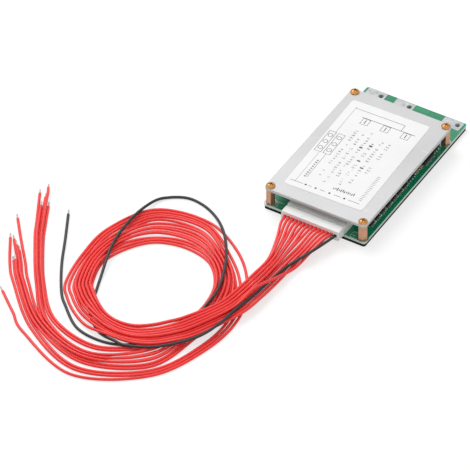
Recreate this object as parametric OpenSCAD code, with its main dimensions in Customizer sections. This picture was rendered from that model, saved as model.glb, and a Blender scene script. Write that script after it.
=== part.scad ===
// Battery management board: a circuit board on a foam pad, an aluminium heatsink plate
// on brass standoffs above it, and a plugged-in harness of fourteen balance wires.
// Millimetres. Z is up, the connector faces -Y and the solder pads are along +Y.

/* [Circuit board] */
// Width of the board, along the connector edge
board_w = 66; // [64:0.5:80]
// Length of the board, from the connector edge to the solder pads
board_l = 119; // [117:0.5:140]
// Thickness of the board
board_t = 1.6; // [1:0.1:2.4]
// Corner radius of the board
board_corner = 1.5; // [0.5:0.1:2.5]
// Thickness of the tinned copper pads
tin_t = 0.2; // [0.1:0.05:0.4]
// Depth of the tinned pads from the back edge
tin_depth = 8; // [6:0.5:10]
// Bore through each tinned pad
tin_bore = 3; // [2:0.1:4]

/* [Foam pad] */
// Thickness of the foam pad under the board
foam_t = 2; // [2:0.1:4]
// How far the foam stops short of the board edge
foam_inset = 0.2; // [0:0.1:1]

/* [Heatsink plate] */
// Strip of the board left open behind the plate, which is flush with the connector edge
pad_strip = 17.5; // [13:0.5:19]
// Thickness of the plate
plate_t = 2; // [1.5:0.1:3]
// Corner radius of the plate
plate_corner = 3; // [2:0.1:4]
// Broken edge of the plate
plate_edge = 0.3; // [0.1:0.05:0.5]
// Width of the paper label
label_w = 50; // [40:0.5:52]
// Length of the paper label
label_l = 83; // [70:0.5:85]
// Thickness of the label
label_t = 0.15; // [0.1:0.05:0.3]

/* [Standoffs and screws] */
// Height of the standoffs
standoff_h = 10; // [10:0.5:14]
// Width of a standoff across its flats
standoff_af = 5; // [4.6:0.1:5.2]
// Distance of the screws from the plate edges
screw_inset = 3; // [3:0.1:4]
// Diameter of the screw shanks
screw_d = 2.9; // [2.5:0.05:3]
// Gap all round a screw in a drilled hole
hole_gap = 0.2; // [0.1:0.05:0.3]
// Diameter of the screw heads
head_d = 5.4; // [5:0.1:5.8]
// Height of the domed heads above the plate
head_h = 1.7; // [1.4:0.1:2]
// Diameter of the flat heads under the board
low_head_d = 4.8; // [4.2:0.1:5]
// Height of the flat heads under the board
low_head_h = 1.5; // [1.2:0.1:1.8]
// How far each screw reaches into its standoff
screw_reach = 4.2; // [3:0.1:4.6]

/* [Connector] */
// Number of poles
poles = 14; // [3:1:14]
// Distance between poles
pitch = 2.5; // [2.5:0.01:2.6]
// Place of the connector's middle across the board
connector_x = 1.2; // [-2:0.1:3]
// Housing beyond the centre of each end pole
pole_margin = 2.45; // [2.2:0.05:2.6]
// Height of the header and of the plug's grip
header_h = 6.3; // [6:0.1:7]
// Depth of the header
header_l = 9.2; // [8.6:0.1:11]
// Distance of the header's mouth from the board edge
header_y = 0.7; // [0.2:0.1:2]
// Wall of the header
header_wall = 0.9; // [0.7:0.05:1]
// Wall behind the header's mouth
header_back = 2.2; // [1.5:0.1:2.5]
// Gap all round the plug in the header
plug_gap = 0.12; // [0.05:0.01:0.2]
// Length of the plug's grip
grip_l = 5.7; // [5:0.1:7]
// Bare neck between the header's mouth and the grip
neck_l = 1.5; // [1:0.1:2.5]
// Width of a wire cavity in the plug
cavity_w = 2.1; // [2.05:0.01:2.15]
// Side of the square header pins
pin_w = 0.64; // [0.5:0.01:0.7]

/* [Wires] */
// Outer diameter of the insulation
wire_d = 1.7; // [1.4:0.05:1.75]
// Diameter of the tinned conductor
strand_d = 1; // [0.8:0.05:1.2]
// Bare tinned length at each wire end
strand_l = 4; // [3:0.5:5]

/* [Power parts] */
// Number of transistors in each of the two rows
row_count = 5; // [3:1:5]
// Distance between transistors in a row
row_pitch = 10.8; // [10.6:0.1:10.9]
// Width of a transistor
fet_w = 10; // [9:0.1:10.3]
// Length of a transistor's moulded body
fet_l = 9.2; // [8:0.1:9.6]
// Thickness of a transistor, tab included
fet_t = 4.5; // [4:0.1:4.8]
// Thickness of the metal tab
tab_t = 1.3; // [1:0.1:1.4]
// Length of the tab beyond the body
tab_l = 6.3; // [5:0.1:6.5]
// Distance of the line where the two rows' tabs meet from the plate's rear edge
rows_back = 21.5; // [19.5:0.5:25.5]
// Thickness of the silicone sheet under the plate
silicone_t = 0.3; // [0.2:0.05:0.5]

/* [Small parts] */
// Number of balancing cells
cells = 13; // [4:1:14]
// Distance between balancing cells along the board
cell_pitch = 6.3; // [6:0.1:6.5]
// Place of the first balancing cell from the connector edge
cell_y = 15; // [13:0.5:18]
// Distance of the cell chips from the board's long edge
cell_inset = 4.6; // [4.2:0.1:6]
// Gap between a chip's body and the board
chip_gap = 0.1; // [0.05:0.05:0.2]

/* [Hidden] */
$fn = 48;

// How far a cut runs past the face it opens
over = 1;

// ---- Levels above the surface that the part lies on
top_z = foam_t + board_t;
plate_z = top_z + standoff_h;
sheet_z = plate_z - silicone_t;

// ---- Places along the board, from its connector edge
plate_l = board_l - pad_strip;
rows_y = plate_l - rows_back;
front_y = (neck_l + grip_l - header_y - board_l) / 2;
screw_x = board_w / 2 - screw_inset;
screw_rows = [screw_inset, plate_l - screw_inset];

// ---- Tinned pads
tin_w = 12.5;
tin_clear = 0.4;
tin_edge = 1.5;
tin_mid_x = -6.5;
tin_places = [tin_edge + tin_w / 2 - board_w / 2, tin_mid_x, board_w / 2 - tin_edge - tin_w / 2];
// Bore of each pad from the pad's middle, across and along the board
tin_bore_at = [3.4, 0.2];

// ---- Foam pad
foam_gap = 0.15;
// How far leads stand out under the board, and the room they have in the foam
lead_out = 1.2;
lead_room = 0.4;

// ---- Label
label_at = [-1.3, 51.3];
label_turn = 1.5;
label_corner = 2;

// ---- Screws
thread_gap = 0.05;
recess_w = 0.7;
recess_l = 3.2;
recess_h = 1;
head_rim = 0.5;

// ---- Connector
header_w = (poles - 1) * pitch + 2 * pole_margin;
pole_z = top_z + header_h / 2;
mouth_w = header_w - 2 * header_wall;
mouth_h = header_h - 2 * header_wall;
mouth_l = header_l - header_back;
plug_w = mouth_w - 2 * plug_gap;
plug_h = mouth_h - 2 * plug_gap;
plug_l = mouth_l - plug_gap;
// Ribs on top of the plug and the slots that they slide in
rib_x = abs(poles / 2 - 2) * pitch;
rib_w = 1.6;
rib_l = 4.5;
// Wall across the plug's mating end
plug_face = 0.6;
grip_edge = 0.4;
// Header pins
pin_bend_r = 1;
pin_back = 1.3;
pin_hole_d = pin_w * sqrt(2) + 0.1;
pin_row_y = header_y + header_l + pin_back;
// Crimped contacts
contact_gap = 0.05;
contact_l = 6;
contact_front_y = header_y + plug_l - plug_face;
contact_rear_y = contact_front_y - contact_l;
barrel_d = 1.3;
cup_l = 2.5;
cup_floor = 0.5;
// Free length of the pin's hole past the pin's end
pin_short = 0.3;
contact_floor = 0.3;
// How far a wire reaches into the plug, and its gap in the contact's cup
wire_in = 3.5;
wire_gap = 0.03;
wire_end_y = header_y - neck_l - grip_l + wire_in;

// ---- Transistors
lead_pitch = 2.54;
lead_w = 0.8;
lead_t = 0.5;
lead_bend_r = 1.2;
// Distance of the leads' feet from the body, and their holes in the board
lead_reach = 2.4;
lead_hole_d = 1.2;
lead_row_y = tab_l + fet_l + lead_reach;
// Depth of the leads' middle below the tab's face, and their length inside the body
lead_drop = 2.6;
lead_hold = 2;
// Sides of the body that close round the tab
tab_side = 1;
tab_gap = 0.3;
tab_hole_d = 3.6;
tab_hole_in = 2.8;
fet_draw = 0.4;
sheet_margin = 0.5;

// ---- Small parts: width across the leads or ends, length along them, and height
six_lead_chip = [1.6, 2.9, 1.1];
three_lead_chip = [1.3, 2.9, 1];
bleed_resistor = [1.6, 3.2, 0.6];
small_resistor = [1.6, 0.8, 0.45];
small_capacitor = [1.6, 0.8, 0.8];
edge_capacitor = [1.6, 3.2, 1.2];
shunt = [3.2, 6.4, 0.8];
diode = [4.4, 3.6, 2.2];
controller = [7, 7, 1.4];
driver = [3.9, 9.9, 1.5];
amplifier = [3.9, 4.9, 1.5];
// End caps of resistors and capacitors, proud of the middle
cap_l = 0.35;
cap_proud = 0.03;
// Share of a chip's height at which its sides start to draw in, and by how much
chip_rise = 0.6;
chip_draw = 0.12;
// Bent leads of the chips
wing_t = 0.15;
wing_w = 0.4;
wing_out = 0.45;
wing_foot = 0.5;

// ---- Places of the small parts
// The first cells lie along the right-hand edge and the rest along the left-hand one
edge_cells = 7;
cell_places = [
    for (i = [0 : cells - 1])
        let (side = i < edge_cells ? 1 : -1)
        [side * (board_w / 2 - cell_inset), cell_y + cell_pitch * (i % edge_cells), side]
];
// Parts of a cell, from its chip: towards the middle of the board, and along it
transistor_at = [4.6, 0];
bleed_at = [8.4, 0];
resistors_at = [[-0.2, 2.4], [2.4, 3.1]];
capacitor_at = [-0.2, 3.8];
// Parts that share out the right-hand edge between its last cell and the rear standoff: their
// lengths along the board, in order, and the equal gaps between them
edge_x = board_w / 2 - cell_inset;
edge_lengths = [
    for (n = [1 : 3]) small_resistor.y, for (n = [1 : 2]) edge_capacitor.y,
    driver.y, for (n = [1 : 4]) small_resistor.y
];
edge_resistors = [0, 1, 2, 6, 7, 8, 9];
edge_capacitors = [3, 4];
edge_driver = 5;
edge_driver_in = 0.6;
edge_from = cell_y + cell_pitch * (edge_cells - 1) + capacitor_at.y + small_capacitor.y / 2;
edge_to = screw_rows[1] - standoff_af / 2;
edge_gap = (edge_to - edge_from - total(edge_lengths, len(edge_lengths)))
    / (len(edge_lengths) + 1);
// Row of large parts between the plate and the tinned pads
back_row_gap = 5.5;
back_row_y = board_l - tin_depth - back_row_gap;
shunt_columns = [-21, -16.4, -11.8, -7.2];
diode_columns = [10, 17];
// Chips in front of the transistors: places across the board and ahead of the front leads
front_leads_y = rows_y - lead_row_y;
controller_place = [2, front_leads_y - 28.1];
driver_places = [[edge_x - edge_driver_in, edge_y(edge_driver)], [-12, front_leads_y - 16.1]];
amplifier_places = [for (x = [-12, 14]) [x, front_leads_y - 34.1]];

// ---- Wire routes. Places are from the middle of the board's connector edge, and heights
// are those of a wire's centre above that of a wire lying flat. The red wires run from the
// plug into a bundle, once round a loop, under their own bundle and on to their bare ends.
// Middle of the loop
loop = [-53, -87];
// Cuts across the red wires, in the order that they pass them: a point and a direction
red_cuts = [
    [0, -13, 0], [0, -24, 0], [0, -38, 0], [0, -54, 0], [0, -70, 0],
    [loop.x, loop.y, 0], [loop.x, loop.y, -30], [loop.x, loop.y, -45],
    [loop.x, loop.y, -60], [loop.x, loop.y, -75], [loop.x, loop.y, -90],
    [loop.x, loop.y, -105], [loop.x, loop.y, -120], [loop.x, loop.y, -135],
    [loop.x, loop.y, -150], [loop.x, loop.y, -180], [loop.x, loop.y, -210],
    [loop.x, loop.y, -240], [loop.x, loop.y, -270], [loop.x, loop.y, -300],
    [loop.x, loop.y, -330], [loop.x, loop.y, -360], [loop.x, loop.y, -390],
    [loop.x, loop.y, -420], [loop.x, loop.y, -450], [loop.x, loop.y, -480]
];
// Distance of each red wire along each cut
red_lanes = [
    [-14, -11.7, -9.4, -7.1, -4.8, -2.5, -0.2, 2.1, 4.4, 6.7, 9, 11.3, 13.5],
    [-10.2, -8.5, -6.8, -5.1, -3.4, -1.7, 0, 1.8, 3.6, 5.6, 7.6, 9.6, 11.5],
    [-7.4, -6.4, -5.3, -4.3, -3.2, -2.2, -1.1, -0.1, 1, 3.1, 5.2, 7.3, 9.3],
    [-7.4, -6.3, -5.3, -4.2, -3.2, -2.1, -1.1, 0, 1, 3.1, 5.2, 7.3, 6.3],
    [-8, -7, -5.9, -4.9, -3.8, -2.8, -1.7, -0.7, 0.4, 2.5, 4.6, 6.7, 2],
    [42, 43.1, 44.1, 45.2, 46.2, 47.3, 48.3, 49.4, 50.4, 52.5, 54.6, 56.7, 51.4],
    [37.4, 38.5, 39.7, 40.8, 41.8, 42.9, 43.9, 45, 46, 48.1, 50.2, 52.3, 47.1],
    [37, 38.1, 40.5, 41.5, 42.5, 43.5, 44.5, 45.5, 46.5, 48.5, 50.4, 52.3, 47.5],
    [36.8, 37.9, 40.4, 41.4, 42.4, 43.4, 44.3, 45.3, 46.2, 48.1, 50, 51.9, 47.2],
    [36.7, 37.8, 39.8, 40.8, 41.8, 42.8, 43.7, 44.7, 45.6, 47.5, 49.4, 51.3, 46.6],
    [36.9, 38, 39.1, 40.1, 41.1, 42.1, 43.1, 44.1, 45.1, 47.1, 49.1, 51.1, 46.1],
    [35.8, 36.8, 37.8, 38.8, 39.8, 40.8, 41.8, 42.8, 43.8, 45.8, 47.8, 50.8, 44.8],
    [34.7, 35.7, 36.7, 37.7, 38.7, 39.7, 40.7, 41.7, 42.7, 44.6, 46.6, 49.6, 43.7],
    [34, 35, 36, 37, 38, 39, 40, 41, 42, 44, 46.2, 49, 43],
    [33.8, 34.8, 35.8, 36.8, 37.8, 38.8, 39.8, 40.8, 41.8, 43.8, 46.4, 48.7, 42.8],
    [33.2, 34.2, 35.1, 36.1, 37, 38, 38.9, 39.9, 40.8, 42.7, 44.6, 46.5, 41.8],
    [32.5, 34.7, 37.3, 38.4, 39.4, 40.5, 41.5, 42.6, 43.6, 48.6, 50.6, 52.6, 45.6],
    [34.2, 36.1, 38, 41.6, 43.5, 45.4, 47.3, 49.2, 53.4, 57.5, 59.7, 62, 55.4],
    [34.6, 36.5, 39.2, 41.1, 43, 44.9, 47.4, 49.3, 51.2, 55.8, 57.7, 59.8, 53.9],
    [35.6, 36.7, 37.8, 38.9, 40, 41.1, 42.2, 43.3, 44.4, 46.6, 48.8, 54, 45.5],
    [34.4, 35.5, 36.6, 37.7, 38.8, 40, 41.1, 42.3, 43.5, 46, 48.5, 52.4, 44.8],
    [33.9, 35, 36.1, 37.3, 38.5, 39.8, 41.1, 42.5, 43.8, 51, 53.3, 55.7, 46.3],
    [37.2, 39.4, 41.6, 42.7, 43.7, 44.8, 45.8, 46.9, 47.9, 57.6, 59.6, 61.7, 50.3],
    [49.2, 51.3, 53.3, 55.3, 57.3, 59.3, 61.3, 63.3, 65.4, 71, 73.1, 75.3, 67.9],
    [59.8, 61.8, 66.5, 67.6, 68.6, 69.7, 70.7, 71.8, 72.9, 79.6, 81.7, 86.1, 75],
    [61.5, 63.5, 65.6, 66.7, 67.8, 68.9, 70, 71.1, 72.2, 74.4, 76.5, 81.6, 73.3]
];
// Height of each red wire's centre at each cut
red_heights = [
    [5.8, 5.8, 5.8, 5.8, 5.8, 5.8, 5.8, 5.8, 5.8, 5.8, 5.8, 5.8, 5.8],
    [4.2, 5.6, 4.2, 5.6, 4.2, 5.6, 4.2, 5.6, 4.2, 4.2, 4.2, 4.2, 3.9],
    [1.2, 2.8, 1.2, 2.8, 1.2, 2.8, 1.2, 2.8, 1.2, 1.2, 1.2, 1.2, 1.9],
    [2.4, 4, 2.4, 4, 2.4, 4, 2.4, 4, 2.4, 2.4, 2.4, 2.4, 5.6],
    [3.7, 5.3, 3.7, 5.3, 3.7, 5.3, 3.7, 5.3, 3.7, 3.7, 3.7, 3.7, 8.2],
    [3.8, 5.4, 3.8, 5.4, 3.8, 5.4, 3.8, 5.4, 3.8, 3.8, 3.8, 3.8, 5.6],
    [4.2, 5.8, 4, 5.6, 3.9, 5.5, 3.9, 5.5, 3.9, 3.9, 3.9, 3.9, 5.5],
    [3.8, 5.4, 3.8, 5.4, 3.8, 5.4, 3.8, 5.4, 3.8, 3.8, 3.8, 3.8, 5.4],
    [2, 3.6, 2, 3.6, 2, 3.6, 2, 3.6, 2, 2.2, 2.2, 2.4, 3.7],
    [0.1, 1.7, 0.1, 1.7, 0.1, 1.7, 0.1, 1.7, 0.2, 1, 1.7, 2, 2.5],
    [0, 1.6, 0, 1.6, 0, 1.7, 0, 2, 0.5, 1.4, 2.1, 2.9, 3],
    [0, 1.6, 0, 1.6, 0, 2.3, 0.8, 3.7, 2.2, 2, 1.7, 0.6, 3.7],
    [1.1, 3.3, 1.8, 3.6, 2, 3.6, 1.9, 3.4, 1.4, 0.4, 0, 0, 2.9],
    [1.9, 3.5, 1.6, 3.1, 0.6, 2.1, 0, 1.6, 0, 0, 0, 0, 1.6],
    [0.2, 1.8, 0, 1.6, 0, 1.6, 0, 1.6, 0, 0, 0, 0, 1.6],
    [0, 1.6, 0, 1.6, 0, 1.6, 0, 1.6, 0, 0, 0, 0, 1.6],
    [0, 0.2, 0, 1.6, 0, 1.6, 0, 1.6, 0, 0, 0, 0, 0.6],
    [0, 0.2, 0, 0.8, 0, 0.8, 0, 0.8, 0, 0, 0, 0, 0.4],
    [0, 0.6, 0, 0.6, 0, 0.6, 0, 0.7, 0, 0, 0, 0, 0.6],
    [0, 1.6, 0, 1.6, 0, 1.6, 0, 1.6, 0, 0, 0, 0, 1.6],
    [0, 1.6, 0, 1.6, 0, 1.6, 0, 1.6, 0, 0, 0, 0, 1.6],
    [0, 1.6, 0, 1.6, 0, 1.6, 0, 1.6, 0, 0, 0, 0, 0],
    [0, 0, 0, 1.6, 0, 1.6, 0, 1.6, 0, 0, 0, 0, 0],
    [0, 0, 0, 1.1, 0, 1.1, 0, 1.1, 0, 0, 0, 0, 0],
    [0, 0, 0, 1.6, 0, 1.6, 0, 1.6, 0, 0, 0, 0, 0],
    [0, 0.7, 0, 1.6, 0, 1.6, 0, 1.6, 0, 0, 0, 0, 1.6]
];
// The last stretch of each red wire, point by point
red_tails = [
    [[-105.6, -117.4, 0], [-123.4, -90, 0], [-131, -75.5, 0], [-137.6, -62, 0]],
    [[-106.5, -117.9, 1.6], [-124.8, -90, 1.6], [-132.5, -75.5, 1.6], [-140.4, -59.5, 1.7],
     [-143.4, -53.3, 1.5], [-146.1, -48.6, 0.4]],
    [[-107.5, -118.4, 0], [-126.2, -90, 0], [-134, -75.5, 0], [-143.2, -56.2, 0]],
    [[-108.4, -119, 1.6], [-127.6, -90, 1.6], [-135.4, -75.5, 1.6], [-140.6, -65.1, 1.6]],
    [[-109.4, -119.6, 0], [-129, -90, 0], [-136.9, -75.5, 0], [-147.8, -55, 0]],
    [[-113.2, -121.7, 0.5], [-123.8, -108.3, 0], [-136, -93.5, 0], [-147.1, -79.5, 0]],
    [[-115.2, -122.9, 0], [-125.5, -109.8, 0], [-131.7, -101.9, 0]],
    [[-116, -123.4, 1.6], [-126.3, -110.4, 1.6], [-134.3, -100.4, 1.6]],
    [[-116.9, -123.9, 0], [-127.1, -111, 0], [-139.3, -95.5, 0]],
    [[-118.6, -124.9, 0], [-129.8, -110.9, 0]],
    [[-120.4, -126, 0], [-130.5, -113.8, 0], [-141.9, -95.4, 0]],
    [[-107.3, -147, 0], [-121.7, -135.1, 0]],
    [[-117.8, -124.4, 1.6], [-128.4, -110.9, 1.6]]
];
// Points of the black wire after its exit
black_points = [
    [15.9, -13, 5.8], [12.9, -24, 5.8], [6.3, -38, 3.1], [4.2, -54, 4.1], [3.5, -70, 5.5],
    [0.6, -87, 5.6], [-1, -101, 5.7], [-5.7, -114.3, 4.6], [-14.2, -125.8, 4],
    [-25.3, -135.1, 3.2], [-38.8, -139.9, 2], [-45.6, -139.7, 1.9], [-53, -138.5, 1],
    [-59, -135.8, 0], [-64.9, -131.4, 0], [-69.3, -126.9, 0], [-73, -121.6, 0], [-76.3, -110.3, 0],
    [-79.7, -100.5, 0], [-84.4, -85.5, 2.4], [-86.5, -78, 3.5], [-88.1, -70.3, 3.6],
    [-89.3, -62, 3.6], [-90, -44, 2.6], [-88, -28.5, 1], [-83.5, -21, 0], [-74, -15.7, 0],
    [-64, -16, 0], [-54, -20, 0.2], [-44, -28, 1.8], [-35.5, -37.6, 2.2], [-26.8, -51.5, 3.6],
    [-20.8, -65, 3.6], [-17.1, -77.6, 3.4], [-16.5, -88.8, 3.3], [-16.9, -97.5, 2.3],
    [-18.5, -106.9, 1.9], [-22.9, -117.1, 2], [-29.8, -127.3, 0.2], [-39.5, -137.5, 0], [-53, -142, 0],
    [-70, -139.7, 0], [-85.5, -127.3, 0], [-93.5, -118.5, 0], [-104.8, -100.2, 0],
    [-115, -80, 0], [-124.4, -61.9, 0]
];
// Distance between the rings of a wire
ring_step = 9;

function unit(v) = v / norm(v);

// Sum of the first n numbers of a list
function total(v, n) = n < 1 ? 0 : v[n - 1] + total(v, n - 1);

// Place along the board of the n-th part on the right-hand edge
function edge_y(n) =
    edge_from + edge_gap * (n + 1) + total(edge_lengths, n) + edge_lengths[n] / 2;

// Point at t on the smooth curve from b to c, with a before them and d after them
function curve_point(a, b, c, d, t) =
    (2 * b + (c - a) * t + (2 * a - 5 * b + 4 * c - d) * t * t
        + (3 * b - a - 3 * c + d) * t * t * t) / 2;

// Rings' centres along the smooth curve through points p, none lower than on the surface
function smooth_route(p) =
    let (q = concat([2 * p[0] - p[1]], p, [2 * p[len(p) - 1] - p[len(p) - 2]]))
    [
        for (i = [1 : len(p) - 1])
            let (steps = max(1, round(norm(q[i + 1] - q[i]) / ring_step)))
            for (s = [0 : steps - 1])
                let (c = curve_point(q[i - 1], q[i], q[i + 1], q[i + 2], s / steps))
                [c.x, c.y, max(c.z, wire_d / 2)],
        p[len(p) - 1]
    ];

// Where pole i's wire starts in the plug and where it leaves it
function wire_start(i) =
    let (x = connector_x + (i - (poles - 1) / 2) * pitch, y = header_y - neck_l - grip_l)
    [[x, front_y + y + wire_in, pole_z], [x, front_y + y, pole_z]];

// A point of a route, put in the part's own frame
function laid(p) = [p.x, front_y + p.y, p.z + wire_d / 2];

// Places of red wire i at the cuts, then its last stretch
function red_points(i) = [
    for (n = [0 : len(red_cuts) - 1])
        let (cut = red_cuts[n], lane = red_lanes[n][i])
        [cut.x + lane * cos(cut.z), cut.y + lane * sin(cut.z), red_heights[n][i]],
    each red_tails[i]
];

function wire_route(i) = smooth_route([
    each wire_start(i),
    for (p = i < len(red_tails) ? red_points(i) : black_points) laid(p)
]);

// ---- Shared shapes

// Moves a shape from the middle of the connector edge on the surface to its place
module placed(z) translate([0, front_y, z]) children();

module at_screws() for (x = [-screw_x, screw_x], y = screw_rows) translate([x, y]) children();

module at_tins() for (x = tin_places) translate([x, board_l - tin_depth / 2]) children();

module at_poles() for (i = [0 : poles - 1])
    translate([connector_x + (i - (poles - 1) / 2) * pitch, 0]) children();

module at_leads() for (i = [-1 : 1]) translate([i * lead_pitch, 0]) children();

module at_fets() for (row = [0, 1], i = [0 : row_count - 1])
    translate([(i - (row_count - 1) / 2) * row_pitch, rows_y]) mirror([0, row, 0]) children();

// Moves a shape to the same place in every cell
module at_cells(place) for (c = cell_places)
    translate([c.x - c.z * place.x, c.y + place.y]) children();

module at_each(places) for (p = places) translate(p) children();

// Through cut of diameter d below z = h
module bore(d, h) translate([0, 0, -over]) cylinder(d = d, h = h + 2 * over);

// Slab with rounded corners, on z = 0 and centred
module rounded_slab(w, l, h, r) linear_extrude(h) {
    square([w - 2 * r, l], center = true);
    square([w, l - 2 * r], center = true);
    for (x = [r - w / 2, w / 2 - r], y = [r - l / 2, l / 2 - r]) translate([x, y]) circle(r);
}

// Profile of a slab's edge: length l, height h and corners broken by c
module broken_profile(l, h, c) polygon([
    [c - l / 2, 0], [l / 2 - c, 0], [l / 2, c], [l / 2, h - c],
    [l / 2 - c, h], [c - l / 2, h], [-l / 2, h - c], [-l / 2, c]
]);

// Rounded slab whose upper and lower edges are broken all round
module chamfered_slab(w, l, h, r, c) {
    rotate([90, 0, 0]) linear_extrude(l - 2 * r, center = true) broken_profile(w, h, c);
    rotate([90, 0, 90]) linear_extrude(w - 2 * r, center = true) broken_profile(l, h, c);
    for (x = [r - w / 2, w / 2 - r], y = [r - l / 2, l / 2 - r]) translate([x, y])
        rotate_extrude() polygon([[0, 0], [r - c, 0], [r, c], [r, h - c], [r - c, h], [0, h]]);
}

// Block whose upper edges draw in, on z = 0 and centred
module moulded(size, draw) {
    module ridge(l, w) rotate([90, 0, 90]) linear_extrude(l, center = true) polygon([
        [-w / 2, 0], [w / 2, 0], [w / 2, size.z * chip_rise], [w / 2 - draw, size.z],
        [draw - w / 2, size.z], [-w / 2, size.z * chip_rise]
    ]);
    intersection() {
        ridge(size.x, size.y);
        rotate(90) ridge(size.y, size.x);
    }
}

module block(size) linear_extrude(size.z) square([size.x, size.y], center = true);

// Quarter bend of a bar of width w and thickness t: from along +Y at z = r down to -Z
module quarter_bend(w, t, r) rotate([0, 90, 0]) rotate([0, 0, 90])
    rotate_extrude(angle = 90) translate([r, 0]) square([t, w], center = true);

// Round-headed screw under its head at z = 0: domed head above and shank of length l below
module domed_screw(l) difference() {
    union() {
        rotate_extrude() intersection() {
            dome_r = (pow(head_d / 2, 2) + pow(head_h - head_rim, 2)) / (2 * (head_h - head_rim));
            translate([0, head_h - dome_r]) circle(dome_r, $fn = 96);
            square([head_d / 2, head_h]);
        }
        translate([0, 0, -l]) cylinder(d = screw_d, h = l + head_rim);
    }
    for (a = [0, 90]) rotate(a) translate([-recess_l / 2, -recess_w / 2, head_h - recess_h])
        cube([recess_l, recess_w, recess_h + over]);
}

// Tube of eight sides along a path
module tube(path, d) {
    sides = 8;
    last = len(path) - 1;
    points = [
        for (i = [0 : last])
            let (
                along = unit(path[min(i + 1, last)] - path[max(i - 1, 0)]),
                across = unit(cross(along, [0, 0, 1])),
                up = cross(across, along)
            )
            for (k = [0 : sides - 1])
                let (a = 360 * k / sides)
                path[i] + d / 2 * (cos(a) * across + sin(a) * up)
    ];
    faces = [
        [for (k = [sides - 1 : -1 : 0]) k],
        for (i = [0 : last - 1], k = [0 : sides - 1])
            let (next = (k + 1) % sides, a = i * sides, b = a + sides)
            [a + k, a + next, b + next, b + k],
        [for (k = [0 : sides - 1]) last * sides + k]
    ];
    polyhedron(points, faces);
}

// ---- Board, foam and plate

module foam_pad() color("#101010") placed(0) difference() {
    translate([0, board_l / 2])
        rounded_slab(board_w - 2 * foam_inset, board_l - 2 * foam_inset, foam_t, board_corner);
    // Pockets for the screw heads and for the ends of the pins and leads
    at_screws() translate([0, 0, foam_t - low_head_h - foam_gap])
        cylinder(d = low_head_d + 2 * foam_gap, h = low_head_h + foam_gap + over);
    pocket_h = lead_out + lead_room;
    translate([connector_x, pin_row_y, foam_t - pocket_h])
        block([(poles - 1) * pitch + pin_w + 2 * lead_room, pin_w + 2 * lead_room, pocket_h + over]);
    for (m = [-1, 1]) translate([0, rows_y + m * lead_row_y, foam_t - pocket_h])
        block([(row_count - 1) * row_pitch + 2 * lead_pitch + lead_w + 2 * lead_room,
            lead_t + 2 * lead_room, pocket_h + over]);
}

module circuit_board() color("#0f9c6c") placed(foam_t) difference() {
    translate([0, board_l / 2]) rounded_slab(board_w, board_l, board_t, board_corner);
    at_screws() bore(screw_d + 2 * hole_gap, board_t);
    at_tins() translate(tin_bore_at) bore(tin_bore, board_t);
    translate([0, pin_row_y]) at_poles() bore(pin_hole_d, board_t);
    at_fets() translate([0, lead_row_y]) at_leads() bore(lead_hole_d, board_t);
}

module solder_pads() color("silver") placed(top_z) at_tins() difference() {
    translate([0, -tin_clear / 2]) block([tin_w, tin_depth - tin_clear, tin_t]);
    translate(tin_bore_at) bore(tin_bore, tin_t);
}

module standoffs() color("#c79a7c") placed(top_z) at_screws() difference() {
    cylinder(d = standoff_af / cos(30), h = standoff_h, $fn = 6);
    bore(screw_d + 2 * thread_gap, standoff_h);
}

// Low screws whose flat heads lie in the foam, under the board
module board_screws() color("#b0906a") placed(foam_t) at_screws() difference() {
    union() {
        translate([0, 0, -low_head_h]) cylinder(d = low_head_d, h = low_head_h);
        cylinder(d = screw_d, h = board_t + screw_reach);
    }
    for (a = [0, 90]) rotate(a) translate([0, 0, -low_head_h - over])
        block([recess_l, recess_w, recess_h + over]);
}

module heatsink_plate() color("#d6d6d6") placed(plate_z) difference() {
    translate([0, plate_l / 2])
        chamfered_slab(board_w, plate_l, plate_t, plate_corner, plate_edge);
    at_screws() bore(screw_d + 2 * hole_gap, plate_t);
}

module plate_screws() color("#b98a58") placed(plate_z + plate_t) at_screws()
    domed_screw(plate_t + screw_reach);

module label() color("#f4f4f4") placed(plate_z + plate_t) translate(label_at)
    rotate(label_turn) rounded_slab(label_w, label_l, label_t, label_corner);

module silicone_sheet() color("#8f9a9a") placed(sheet_z) translate([0, rows_y])
    block([(row_count - 1) * row_pitch + fet_w + 2 * sheet_margin,
        2 * (tab_l + fet_l + sheet_margin), silicone_t]);

// ---- Connector

module connector_header() color("#f0f0ee") placed(top_z) difference() {
    translate([connector_x, header_y + header_l / 2]) block([header_w, header_l, header_h]);
    // Mouth that the plug slides into
    translate([connector_x, header_y + mouth_l / 2 - over / 2, header_wall])
        block([mouth_w, mouth_l + over, mouth_h]);
    // Slots for the plug's ribs
    for (m = [-1, 1]) translate([connector_x + m * rib_x, header_y + rib_l / 2 - over / 2])
        translate([0, 0, header_h / 2])
            block([rib_w + 2 * plug_gap, rib_l + plug_gap + over, header_h / 2 + over]);
    // Holes that grip the pins
    at_poles() translate([0, header_y + header_l - header_back / 2, (header_h - pin_w) / 2])
        block([pin_w, header_back + 2 * over, pin_w]);
}

module header_pins() color("#c9c9c4") placed(0) at_poles() {
    tip_y = contact_rear_y + pin_short;
    bend_y = pin_row_y - pin_bend_r;
    translate([0, (tip_y + bend_y) / 2, pole_z - pin_w / 2]) block([pin_w, bend_y - tip_y, pin_w]);
    translate([0, bend_y, pole_z - pin_bend_r]) quarter_bend(pin_w, pin_w, pin_bend_r);
    translate([0, pin_row_y, foam_t - lead_out])
        block([pin_w, pin_w, pole_z - pin_bend_r - foam_t + lead_out]);
}

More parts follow.
